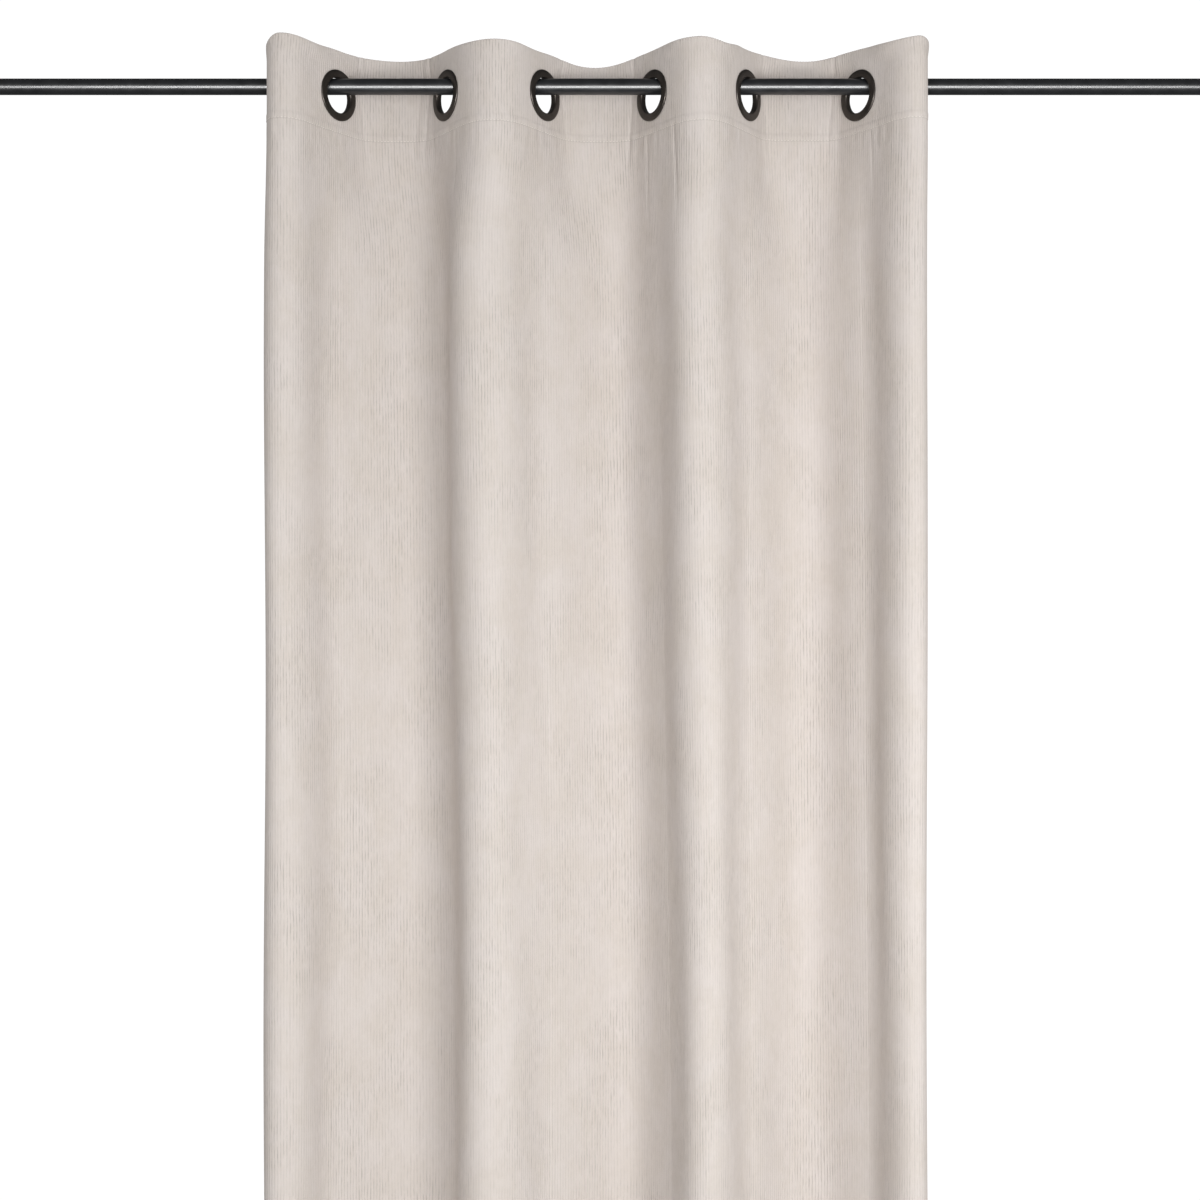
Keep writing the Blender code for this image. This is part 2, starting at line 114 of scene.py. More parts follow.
TOP_SAGS = (  # unevenness of the top edge: after which eyelet, from where to where, how deep
    (0, 0.020, 0.078, 0.0085), (0, 0.080, 0.168, 0.0030), (1, 0.005, 0.130, -0.0013),
    (2, 0.0, 0.124, 0.0040), (2, 0.065, 0.213, 0.0045), (3, 0.0, 0.150, 0.0066),
    (4, 0.0, 0.140, 0.0010), (4, 0.080, 0.152, 0.0042), (5, -0.020, 0.100, -0.0027),
    (5, 0.100, 0.190, -0.0022), (6, 0.0, 0.130, 0.0053), (6, 0.090, 0.146, 0.0070),
)
SAG_DEPTH = 0.060  # how far down an uneven top edge is felt
PUCKER_HEIGHT = 0.00042
SEAM_WIDTH, SEAM_DENT = 0.0018, 0.0003  # of the dent that a row of stitches pulls in
LEDGE = 0.0005  # how far the heading's cut edge pushes the front out above its seam


def eyelet_xs():
    """The eyelets' places along the rod: each fold line lies half way between two of them."""
    places = [JOINTS["curtain_draw"]["pos_m"][0]]
    for index in range(1, PLEATS):
        places.append(2 * JOINTS[f"fold_{index}"]["pos_m"][0] - places[-1])
    return places


EYELET_X = eyelet_xs()
EYELET_ALONG = [SIDE_MARGIN + index * EYELET_PITCH for index in range(PLEATS)]
CLOTH_WIDTH = 2 * SIDE_MARGIN + (PLEATS - 1) * EYELET_PITCH


# ---------------------------------------------------------------- sizes and colours to change


class CurtainClothSettings(bpy.types.PropertyGroup):
    """The ribbed velvet and how it hangs"""

    rib_pitch: FloatProperty(
        name="Rib pitch", description="From rib to rib", default=0.0035, unit="LENGTH"
    )
    rib_height: FloatProperty(
        name="Rib height", description="How far a rib stands up", default=0.0004, unit="LENGTH"
    )
    rib_columns: IntProperty(name="Rib columns", description="Mesh columns across a rib", default=4)
    thickness: FloatProperty(
        name="Thickness", description="Of one layer of cloth", default=0.0011, unit="LENGTH"
    )
    pile_light: FloatVectorProperty(
        name="Pile, brushed up", description="Colour of the lighter patches",
        default=(0.604, 0.555, 0.525), subtype="COLOR",
    )
    # the darker patches' colour is also the base of the painted shade in the grooves and along the
    # heading's seam
    pile_dark: FloatVectorProperty(
        name="Pile, brushed down", description="Colour of the darker patches",
        default=(0.574, 0.522, 0.480), subtype="COLOR",
    )
    thread: FloatVectorProperty(
        name="Thread", description="Colour of the stitching",
        default=(0.760, 0.710, 0.660), subtype="COLOR",
    )


class CurtainMetalSettings(bpy.types.PropertyGroup):
    """The eyelets, the rod and its brackets"""

    eyelet: FloatVectorProperty(
        name="Eyelet", description="Dark bronze of the rings",
        default=(0.060, 0.052, 0.046), subtype="COLOR",
    )
    rod: FloatVectorProperty(
        name="Rod", description="Black lacquer of the rod",
        default=(0.011, 0.012, 0.014), subtype="COLOR",
    )
    bracket: FloatVectorProperty(
        name="Bracket", description="Black powder coat of the brackets",
        default=(0.014, 0.014, 0.015), subtype="COLOR",
    )
    steel: FloatVectorProperty(
        name="Screws", description="Blackened steel of the screws",
        default=(0.110, 0.108, 0.105), subtype="COLOR",
    )
    round_steps: IntProperty(name="Round steps", description="Facets round a ring", default=96)


class CurtainStageSettings(bpy.types.PropertyGroup):
    """Camera, floor and light"""

    camera_distance: FloatProperty(
        name="Camera distance", description="From the rod", default=2.1, unit="LENGTH"
    )
    camera_drop: FloatProperty(
        name="Camera drop", description="Below the rod", default=0.6094, unit="LENGTH"
    )
    view_width: FloatProperty(
        name="View width", description="Seen at the rod's distance", default=1.425, unit="LENGTH"
    )
    floor: FloatVectorProperty(
        name="Floor", description="Colour of the floor", default=(0.86, 0.86, 0.85), subtype="COLOR"
    )
    key_power: FloatProperty(name="Key light", description="Power in watts", default=16.5)
    fill_power: FloatProperty(name="Fill light", description="Power in watts", default=38.5)
    rod_power: FloatProperty(name="Rod light", description="Power in watts", default=240.0)


# ---------------------------------------------------------------- objects and nodes


def smoothstep(value):
    value = np.clip(value, 0.0, 1.0)
    return value * value * (3 - 2 * value)


def add_piece(name, bm, material, smooth_angle=40.0):
    mesh = bpy.data.meshes.new(name)
    bm.to_mesh(mesh)
    bm.free()
    obj = bpy.data.objects.new(name, mesh)
    bpy.context.scene.collection.objects.link(obj)
    mesh.materials.append(material)
    mesh.shade_smooth()
    mesh.set_sharp_from_angle(angle=math.radians(smooth_angle))
    return obj


def facing(direction, at):
    """The place of a piece whose own +Z points along the direction."""
    forward = Vector(direction).normalized()
    up = Vector((0, 1, 0)) if abs(forward.z) > 0.9 else Vector((0, 0, 1))
    side = up.cross(forward).normalized()
    turned = Matrix((side, forward.cross(side), forward)).transposed()
    return Matrix.Translation(at) @ turned.to_4x4()


def turned_piece(name, profile, place, material, steps, closed=True):
    """Spins (radius, height) points round +Z into a closed piece, and puts it in its place."""
    bm = bmesh.new()
    points = [bm.verts.new((radius, 0.0, height)) for radius, height in profile]
    edges = [bm.edges.new(pair) for pair in zip(points, points[1:])]
    if closed:
        edges.append(bm.edges.new((points[-1], points[0])))
    bmesh.ops.spin(
        bm, geom=points + edges, cent=(0, 0, 0), axis=(0, 0, 1), angle=math.tau, steps=steps,
        use_merge=True,
    )
    bmesh.ops.remove_doubles(bm, verts=bm.verts, dist=1e-6)
    bmesh.ops.recalc_face_normals(bm, faces=bm.faces)
    bmesh.ops.transform(bm, matrix=place, verts=bm.verts)
    return add_piece(name, bm, material)


def arc(centre, radius, start, end, steps):
    """Points on an arc of a profile, its angles in degrees from the radius's direction."""
    points = []
    for step in range(steps + 1):
        angle = math.radians(start + (end - start) * step / steps)
        points.append((centre[0] + radius * math.cos(angle), centre[1] + radius * math.sin(angle)))
    return points


class Nodes:
    """Short ways to add and link the nodes of a material."""

    def __init__(self, name):
        self.material = bpy.data.materials.new(name)
        self.material.use_nodes = True
        self.tree = self.material.node_tree
        self.shader = self.tree.nodes["Principled BSDF"]

    def add(self, kind, settings=None, **inputs):
        node = self.tree.nodes.new(kind)
        for key, value in (settings or {}).items():
            setattr(node, key, value)
        for key, value in inputs.items():
            self.put(node, key.replace("_", " "), value)
        return node

    def put(self, node, key, value):
        numbered = key[0] == "i" and key[1:].isdigit()
        socket = node.inputs[int(key[1:]) if numbered else key]
        if isinstance(value, bpy.types.NodeSocket):
            self.tree.links.new(value, socket)
        else:
            socket.default_value = value

    def math(self, operation, first, second=0.0):
        return self.add("ShaderNodeMath", {"operation": operation}, i0=first, i1=second).outputs[0]

    def span(self, value, low, high, to_low=0.0, to_high=1.0):
        node = self.add("ShaderNodeMapRange", {"clamp": True})
        for index, item in enumerate((value, low, high, to_low, to_high)):
            self.put(node, f"i{index}", item)
        return node.outputs[0]

    def noise(self, vector, scale, detail=4.0, roughness=0.55, distortion=0.0):
        node = self.add("ShaderNodeTexNoise", Vector=vector, Scale=scale, Detail=detail,
                        Roughness=roughness, Distortion=distortion)
        return node.outputs["Fac"]

    def parts(self, vector):
        return self.add("ShaderNodeSeparateXYZ", Vector=vector).outputs

    def stretched(self, vector, scale):
        return self.add("ShaderNodeMapping", Vector=vector, Scale=scale).outputs[0]

    def mix(self, factor, first, second):
        node = self.add("ShaderNodeMix", {"data_type": "RGBA"})
        self.put(node, "i0", factor)
        self.put(node, "i6", first)
        self.put(node, "i7", second)
        return node.outputs[2]

    def bump(self, height, strength, distance, normal=None):
        node = self.add("ShaderNodeBump", Height=height, Strength=strength, Distance=distance)
        if normal is not None:
            self.put(node, "Normal", normal)
        return node.outputs[0]

    def shade(self, **inputs):
        for key, value in inputs.items():
            self.put(self.shader, key.replace("_", " "), value)
        return self.material


def rgba(colour, scale=1.0):
    return (*(channel * scale for channel in colour), 1.0)


# ---------------------------------------------------------------- materials


def velvet_material(settings):
    """Ribbed velvet: brushed patches, streaks along the ribs, painted shade in the grooves and
    along the heading's seam, and a soft sheen.
    """
    nodes = Nodes("ribbed_velvet")
    dark, light = settings.pile_dark, settings.pile_light
    flat = nodes.add("ShaderNodeUVMap", {"uv_map": "flat_cloth"}).outputs[0]

    # the brushed and the crushed pile
    clouds = nodes.noise(nodes.stretched(flat, (1.0, 0.7, 1.0)), 19.0, 8.0, 0.66, 0.3)
    patches = nodes.span(clouds, 0.4, 0.6)
    crush = nodes.noise(nodes.stretched(flat, (1.0, 0.75, 1.0)), 120.0, 5.0, 0.75, 0.4)
    crush = nodes.span(crush, 0.36, 0.66)
    streaks = nodes.noise(nodes.stretched(flat, (600.0, 16.0, 1.0)), 1.0, 3.0, 0.6)
    streaks = nodes.span(streaks, 0.3, 0.7)

    # the grooves between the ribs, which wander a little and are broken by the pile: a mask for the
    # ribs' bump and for the painted shade in the grooves
    wander = nodes.noise(nodes.stretched(flat, (1.0, 0.3, 1.0)), 70.0, 3.0, 0.6)
    wander = nodes.span(wander, 0.25, 0.75, -0.0007, 0.0007)
    across = nodes.math("SUBTRACT", nodes.parts(flat)[0], SIDE_MARGIN)
    across = nodes.math("ADD", across, wander)
    turns = nodes.math("MULTIPLY", across, math.tau / settings.rib_pitch)
    groove = nodes.span(nodes.math("COSINE", turns), 0.1, 1.0)
    broken = nodes.noise(nodes.stretched(flat, (260.0, 55.0, 1.0)), 1.0, 4.0, 0.7)
    groove = nodes.math("MULTIPLY", groove, nodes.span(broken, 0.36, 0.62))
    shown = nodes.noise(nodes.stretched(flat, (1.0, 0.45, 1.0)), 17.0, 3.0, 0.5, 0.4)
    shown = nodes.span(shown, 0.42, 0.6)

    pile = nodes.mix(patches, rgba(dark), rgba(light))
    pile = nodes.mix(nodes.math("MULTIPLY", crush, 0.35), pile, rgba(light, 1.1))
    pile = nodes.mix(nodes.math("MULTIPLY", streaks, 0.25), pile, rgba(dark, 0.9))
    # painted shade: the colour darkens towards the bottom of each groove between the ribs, more
    # where the ribs show
    depth = nodes.math("MULTIPLY", groove, nodes.span(shown, 0.0, 1.0, 0.26, 0.70))
    pile = nodes.mix(depth, pile, rgba(dark, 0.6))

    # painted shadow: a thin dark line in the colour along the dent of the heading's seam
    drop = nodes.math("ADD", nodes.parts(flat)[1], FRONT_START)
    away = nodes.math("ABSOLUTE", nodes.math("ADD", drop, HEADING_STITCH + 0.0006))
    pile = nodes.mix(nodes.span(away, 0.0002, 0.0013, 0.22, 0.0), pile, rgba(dark, 0.4))

    fuzz = nodes.noise(nodes.stretched(flat, (1.0, 0.35, 1.0)), 1900.0, 2.0, 0.6)
    ribs = nodes.math("MULTIPLY", groove, nodes.span(shown, 0.0, 1.0, -0.22, -0.55))
    height = nodes.math("ADD", ribs, nodes.math("MULTIPLY", fuzz, 0.35))
    height = nodes.math("ADD", height, nodes.math("MULTIPLY", crush, 0.25))
    return nodes.shade(
        Base_Color=pile, Roughness=nodes.span(patches, 0.0, 1.0, 0.95, 0.84),
        Normal=nodes.bump(height, 0.6, 0.0006), Specular_IOR_Level=0.05,
        Sheen_Weight=0.12, Sheen_Roughness=0.45, Sheen_Tint=(1.0, 0.97, 0.94, 1.0),
    )


def thread_material(settings):
    """Matt polyester thread, twisted along its length."""
    nodes = Nodes("sewing_thread")
    place = nodes.add("ShaderNodeTexCoord").outputs["Object"]
    twist = nodes.noise(place, 2600.0, 2.0)
    shade, shine = rgba(settings.thread, 0.85), rgba(settings.thread, 1.1)
    tone = nodes.mix(nodes.span(twist, 0.3, 0.7), shade, shine)
    return nodes.shade(
        Base_Color=tone, Roughness=0.6, Normal=nodes.bump(twist, 0.4, 0.0002), Sheen_Weight=0.2,
    )


def metal_material(name, colour, rough, metallic, grain, mirror=0.5):
    """Bare or lacquered metal, faintly uneven in colour and gloss, with a fine orange peel."""
    nodes = Nodes(name)
    place = nodes.add("ShaderNodeTexCoord").outputs["Object"]
    wear = nodes.noise(place, 55.0, 4.0, 0.6)
    fine = nodes.noise(place, grain, 2.0, 0.5)
    tone = nodes.mix(nodes.span(wear, 0.3, 0.7), rgba(colour, 0.82), rgba(colour, 1.25))
    gloss = nodes.math("ADD", nodes.span(wear, 0.3, 0.7, rough * 0.85, rough * 1.15),
                       nodes.math("MULTIPLY", fine, 0.04))
    return nodes.shade(
        Base_Color=tone, Roughness=gloss, Metallic=metallic, Specular_IOR_Level=mirror,
        Normal=nodes.bump(fine, 0.03, 0.00004),
    )


def floor_material(settings):
    nodes = Nodes("pale_floor")
    place = nodes.add("ShaderNodeTexCoord").outputs["Object"]
    cloud = nodes.noise(place, 1.5, 3.0)
    shade, shine = rgba(settings.floor, 0.97), rgba(settings.floor, 1.02)
    tone = nodes.mix(nodes.span(cloud, 0.3, 0.7), shade, shine)
    return nodes.shade(Base_Color=tone, Roughness=0.7)


# ---------------------------------------------------------------- the hanging cloth


def turned_share(share, turn):
    """How much of a fold's turning is done at each share of its way: evenly, or round one place."""
    if turn is None:
        return share
    centre, width = turn
    first, last = math.tanh(-centre / width), math.tanh((1 - centre) / width)
    return (np.tanh((share - centre) / width) - first) / (last - first)


def fold_points(start, end, flat, turn, lift, skew):
    """Points (along, across, ahead) of the cloth from one eyelet to the next, seen from above."""
    steps = 120
    share = (np.arange(steps) + 0.5) / steps
    turning = start + (end - start) * turned_share(share, turn)
    turning += lift * np.sin(math.pi * share) + skew * np.sin(math.tau * share)
    lengths = np.concatenate([[flat], np.full(steps, (EYELET_PITCH - 2 * flat) / steps), [flat]])
    headings = np.concatenate([[start], turning, [end]])
    moves = np.stack([lengths, lengths * np.cos(headings), lengths * np.sin(headings)])
    return np.concatenate([np.zeros((3, 1)), np.cumsum(moves, axis=1)], axis=1)


def fit_fold(start, end, flat, turn, gap):
    """The fold that starts and ends on the rod with this gap, found by Newton's method."""
    values, nudge = np.zeros(2), 1e-5
    for _ in range(60):
        here = fold_points(start, end, flat, turn, *values)[1:, -1]
        slopes = [
            (fold_points(start, end, flat, turn, *(values + step))[1:, -1] - here) / nudge
            for step in np.eye(2) * nudge
        ]
        change = np.linalg.solve(np.stack(slopes, axis=1), np.array([gap, 0.0]) - here)
        values += np.clip(change, -0.3, 0.3)
    return fold_points(start, end, flat, turn, *values)


def cloth_line(headings, flat, turns=(None,) * (PLEATS - 1)):
    """The whole cloth seen from above: arrays of along, x and ahead."""
    angles = [math.radians(heading) for heading in headings]
    margin = SIDE_MARGIN * np.array([math.cos(angles[0]), math.sin(angles[0])])
    columns = [np.array([[0.0], [EYELET_X[0] - margin[0]], [-margin[1]]])]
    for index in range(PLEATS - 1):
        gap = EYELET_X[index + 1] - EYELET_X[index]
        fold = fit_fold(angles[index], angles[index + 1], flat, turns[index], gap)
        columns.append(fold[:, :-1] + np.array([[EYELET_ALONG[index]], [EYELET_X[index]], [0.0]]))
    columns.append(np.array([[EYELET_ALONG[-1]], [EYELET_X[-1]], [0.0]]))
    margin = SIDE_MARGIN * np.array([math.cos(angles[-1]), math.sin(angles[-1])])
    columns.append(np.array([[CLOTH_WIDTH], [EYELET_X[-1] + margin[0]], [margin[1]]]))
    return np.concatenate(columns, axis=1)


HELD_LINE = cloth_line(HEADINGS, RING_RADIUS)
TOP_LINE = cloth_line(HEADINGS, 0.004, TOP_TURNS)
LOOSE_LINE = cloth_line(LOOSE_HEADINGS, 0.0, LOOSE_TURNS)


def sway(along, down):
    """Gentle waves that the cloth's own weight and the way it was folded leave in it, in metres."""
    waves = np.zeros_like(along)
    for height, length, fall, phase in SWAYS:
        waves += height * np.sin(math.tau * (along / length + down / fall) + phase)
    return waves * smoothstep((down - HEADING_DEPTH) / 0.35)


def puckers(along, down):
    """Small ripples that the heading's seam draws into the single cloth under it."""
    ripple = np.sin(math.tau * along / 0.0235 + 2.6 * np.sin(math.tau * along / 0.19))
    ripple *= 0.5 + 0.5 * np.sin(math.tau * along / 0.143 + 1.0)
    ripple += 0.5 * np.sin(math.tau * along / 0.0117 + 2.0) * np.sin(math.tau * along / 0.093)
    return PUCKER_HEIGHT * ripple * np.exp(-(((down - HEADING_STITCH - 0.010) / 0.013) ** 2))


def kinks(along, down):
    """Upright creases where the heading bends round its stiff eyelets, in metres."""
    depth = np.zeros_like(along)
    for index, offset, deep, start, end in KINKS:
        lean = offset * (1 + 0.25 * (down / HEADING_DEPTH - 0.5))
        crease = np.exp(-(((along - EYELET_ALONG[index] - lean) / KINK_WIDTH) ** 2))
        begun, ended = smoothstep((down - start) / 0.012), smoothstep((down - end) / 0.07)
        depth -= deep * crease * begun * (1 - ended)
    return depth


def hump(along, low, high):
    """0 at both ends of a stretch of cloth and outside it, 1 in its middle."""
    return 0.5 - 0.5 * np.cos(math.tau * np.clip((along - low) / (high - low), 0.0, 1.0))


def top_sag(along):
    """How far the top edge sags between the eyelets, in metres."""
    sag = np.zeros_like(along)
    for index, start, end, deep in TOP_SAGS:
        sag += deep * hump(along, EYELET_ALONG[index] + start, EYELET_ALONG[index] + end)
    return sag


def cloth_middle(along, down):
    """(x, ahead) of the cloth's middle: held in the heading's folds, looser below."""
    loose = smoothstep((down - HEADING_DEPTH * 0.9) / LOOSENING)
    edge = 1 - smoothstep((down - 0.004) / 0.019)
    held = (1 - loose) * (1 - edge)
    x, ahead = 0.0, 0.0
    for line, share in ((HELD_LINE, held), (TOP_LINE, edge), (LOOSE_LINE, loose)):
        x = x + np.interp(along, line[0], line[1]) * share
        ahead = ahead + np.interp(along, line[0], line[2]) * share
    outer = (EYELET_ALONG[0] + 0.090, *EYELET_ALONG[1:-1], EYELET_ALONG[-1] - 0.080)
    drift = np.interp(along, outer, LOOSE_DRIFT)
    x = x + drift * np.tanh(np.maximum(down - 0.06, 0.0))
    first, last = EYELET_ALONG[0], EYELET_ALONG[-1]
    near, far = BULGE_REACH
    bulge = 1 - 0.35 * (loose + edge)
    x = x - EDGE_BULGE[0] * bulge * hump(along, first + near, first + far)
    x = x + EDGE_BULGE[1] * bulge * hump(along, last - far, last - near)
    return x, ahead


def turned_path(length):
    """Where a strip's length runs: up behind the heading, over, down, and up behind the hem.

    Gives (down, depth, outward down, outward depth) for a length along the cut cloth.
    """
    half = LAYER_GAP / 2
    bend = math.pi * half
    marks = np.cumsum([HEADING_DEPTH - half, bend, CLOTH_LENGTH - 2 * half, bend, HEM_DEPTH])
    up, over, fall, under, _ = (length <= mark for mark in marks)
    turn = np.where(over, (length - marks[0]) / half, (length - marks[2]) / half)
    turn = np.clip(turn, 0.0, math.pi)
    top = over & ~up
    front = fall & ~over
    bottom = under & ~fall
    back = ~under
    parts = [up, top, front, bottom, back]
    down = np.select(
        parts,
        [
            HEADING_DEPTH - length,
            half - half * np.sin(turn),
            half + length - marks[1],
            CLOTH_LENGTH - half + half * np.sin(turn),
            CLOTH_LENGTH - half - (length - marks[3]),
        ],
    )
    over_top, under_hem = -half - half * np.cos(turn), -half + half * np.cos(turn)
    depth = np.select(parts, [-LAYER_GAP, over_top, 0.0, under_hem, -LAYER_GAP])
    out_down = np.select(parts, [0.0, -np.sin(turn), 0.0, np.sin(turn), 0.0])
    out_depth = np.select(parts, [-1.0, -np.cos(turn), 1.0, np.cos(turn), -1.0])
    return down, depth, out_down, out_depth


CUT_LENGTH = HEADING_DEPTH + CLOTH_LENGTH + HEM_DEPTH + (math.pi - 1.5) * LAYER_GAP
FRONT_START = HEADING_DEPTH + (math.pi / 2 - 1) * LAYER_GAP  # the front's top edge on the cut


def hang(mesh, ribs=0.0, pitch=1.0):
    """Moves a mesh laid flat as (along, -length, height) onto the hanging cloth."""
    count = len(mesh.vertices)
    flat = np.empty(count * 3, np.float32)
    mesh.vertices.foreach_get("co", flat)
    along, length, height = flat.reshape(-1, 3).astype(float).T
    length = -length
    down, depth, out_down, out_depth = turned_path(length)
    if ribs:
        wander = np.sin(along * 31.0 + 2.2 * np.sin(down * 4.1))
        faded = 0.7 + 0.3 * wander * np.sin(down * 7.3 + 1.1)
        rib = ribs * faded * (0.5 - 0.5 * np.cos(math.tau * (along - SIDE_MARGIN) / pitch))
        height = height + np.where(height > 0, rib, 0.0)
    seam = SEAM_DENT * np.exp(-(((down - HEADING_STITCH) / SEAM_WIDTH) ** 2))
    above = smoothstep((down - HEADING_STITCH + 0.009) / 0.004)
    ledge = LEDGE * (above - smoothstep((down - HEADING_STITCH) / 0.002))
    depth = depth + np.where(out_depth > 0, ledge - seam, seam)
    depth = depth + height * out_depth
    depth = depth + sway(along, down) + puckers(along, down) + kinks(along, down)
    down = down + height * out_down
    sag = top_sag(along) * (1 - smoothstep(down / SAG_DEPTH))
    step = 0.0008
    x, ahead = cloth_middle(along, down)
    before, after = cloth_middle(along - step, down), cloth_middle(along + step, down)
    run, rise = after[0] - before[0], after[1] - before[1]
    size = np.hypot(run, rise)
    x = x - depth * rise / size
    ahead = ahead + depth * run / size
    hung = np.stack([x, ROD_Y - ahead, CLOTH_TOP - down - sag], axis=1)
    mesh.vertices.foreach_set("co", hung.astype(np.float32).ravel())
    mesh.update()


def row_lengths():
    """The cut lengths of the mesh's rows: close at the eyelets, the seam and the turned edges."""
    start = FRONT_START
    spans = (
        (0.0, HEADING_DEPTH - LAYER_GAP / 2, 30),
        (HEADING_DEPTH - LAYER_GAP / 2, start + LAYER_GAP / 2, 6),
        (start + LAYER_GAP / 2, start + HEADING_STITCH - 0.010, 27),
        (start + HEADING_STITCH - 0.010, start + HEADING_STITCH + 0.004, 16),
        (start + HEADING_STITCH + 0.004, start + 0.17, 14),
        (start + 0.17, start + CLOTH_LENGTH - LAYER_GAP / 2, 92),
        (start + CLOTH_LENGTH - LAYER_GAP / 2, CUT_LENGTH - HEM_DEPTH, 6),
        (CUT_LENGTH - HEM_DEPTH, CUT_LENGTH, 5),
    )
    rows = [np.linspace(low, high, count, endpoint=False) for low, high, count in spans]
    return np.concatenate([*rows, [CUT_LENGTH]])


def flat_strip(low, high, columns, rows, thickness):
    """A closed strip of flat cloth between two distances along it, its eyelet holes cut out."""
    bm = bmesh.new()
    bmesh.ops.create_grid(bm, x_segments=columns, y_segments=len(rows) - 1, size=0.5)
    index = np.arange(len(rows))
    co = np.array([vert.co for vert in bm.verts])
    along = low + (co[:, 0] + 0.5) * (high - low)
    length = np.interp((0.5 - co[:, 1]) * (len(rows) - 1), index, rows)
    for vert, a, b in zip(bm.verts, along, length):
        vert.co = (a, -b, thickness / 2)
    hole = RING_RADIUS - CLAMPED
    drops = (FRONT_START + EYELET_DROP, HEADING_DEPTH - EYELET_DROP)
    near = [(a, b) for a in EYELET_ALONG for b in drops if low - hole < a < high + hole]
    gone = []
    for face in bm.faces:
        middle = face.calc_center_median()
        if any(math.hypot(middle.x - a, middle.y + b) < hole for a, b in near):
            gone.append(face)
    bmesh.ops.delete(bm, geom=gone, context="FACES")
    bmesh.ops.solidify(bm, geom=bm.faces[:], thickness=thickness)
    return bm


def name_flat_cloth(mesh):
    """Keeps the flat cloth's own coordinates, in metres, as a UV map for its pattern."""
    layer = mesh.uv_layers.new(name="flat_cloth")
    co = np.empty(len(mesh.vertices) * 3, np.float32)
    mesh.vertices.foreach_get("co", co)
    corners = np.empty(len(mesh.loops), np.int32)
    mesh.loops.foreach_get("vertex_index", corners)
    layer.data.foreach_set("uv", co.reshape(-1, 3)[corners, :2].ravel())


def blend_over_fold(piece):
    """Bakes a piece's place into its mesh; it stays where it was hung and does not bend as the
    pleats turn.
    """
    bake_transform(piece)


def make_cloth_strip(name, low, high, settings, material):
    columns = max(4, round((high - low) / settings.rib_pitch * settings.rib_columns))
    bm = flat_strip(low, high, columns, row_lengths(), settings.thickness)
    strip = add_piece(name, bm, material)
    name_flat_cloth(strip.data)
    hang(strip.data, settings.rib_height, settings.rib_pitch)
    strip.data.set_sharp_from_angle(angle=math.radians(62))
    return strip


class CURTAIN_OT_hang_cloth(bpy.types.Operator):
    """Hang the ribbed velvet from eyelet to eyelet, turned down at the top and up at the hem"""

    bl_idname = "curtain.hang_cloth"
    bl_label = "Hang the cloth"

    def execute(self, context):
        settings = context.scene.curtain_cloth
        material = velvet_material(settings)
        last = PLEATS - 1
        left = make_cloth_strip("cloth_left_edge", 0.0, SIDE_MARGIN, settings, material)
        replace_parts(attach(left, "pleat_0"), "panel_pleat_0", "header_band_0")
        for index in range(last):
            low, high = EYELET_ALONG[index], EYELET_ALONG[index + 1]
            strip = make_cloth_strip(f"cloth_fold_{index + 1}", low, high, settings, material)
            blend_over_fold(strip)
            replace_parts(strip, f"panel_pleat_{index + 1}", f"header_band_{index + 1}")
        low, high = EYELET_ALONG[-1], CLOTH_WIDTH
        right = make_cloth_strip("cloth_right_edge", low, high, settings, material)
        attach(right, f"pleat_{last}")
        return {"FINISHED"}


def stitch_row(name, low, high, drop, settings):
    """A row of short stitches across the front, laid flat and then hung with the cloth."""
    bm = bmesh.new()
    pitch, reach, radius = 0.004, 0.0013, 0.00036
    height = settings.thickness / 2 + settings.rib_height * 0.7
    for number in range(int((high - low) / pitch)):
        place = (low + (number + 0.5) * pitch, -(FRONT_START + drop), height)
        made = bmesh.ops.create_uvsphere(bm, u_segments=8, v_segments=6, radius=1.0)["verts"]
        bmesh.ops.scale(bm, vec=(reach, radius, radius), verts=made)
        bmesh.ops.translate(bm, vec=place, verts=made)
    row = add_piece(name, bm, bpy.data.materials["sewing_thread"])
    hang(row.data)
    return row


class CURTAIN_OT_sew_seams(bpy.types.Operator):
    """Sew the stitches that hold the turned-down heading and the turned-up hem"""

    bl_idname = "curtain.sew_seams"
    bl_label = "Sew the seams"

    def execute(self, context):
        settings = context.scene.curtain_cloth
        thread_material(settings)
        self.sew("heading", HEADING_STITCH, settings)
        self.sew("hem", CLOTH_LENGTH - HEM_DEPTH + 0.003, settings)
        return {"FINISHED"}

    def sew(self, seam, drop, settings):
        left = stitch_row(f"{seam}_stitches_left", 0.0, SIDE_MARGIN, drop, settings)
        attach(left, "pleat_0")
        for index in range(PLEATS - 1):
            low, high = EYELET_ALONG[index], EYELET_ALONG[index + 1]
            row = stitch_row(f"{seam}_stitches_{index + 1}", low, high, drop, settings)
            blend_over_fold(row)
        low, high = EYELET_ALONG[-1], CLOTH_WIDTH
        right = stitch_row(f"{seam}_stitches_right", low, high, drop, settings)
        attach(right, f"pleat_{PLEATS - 1}")


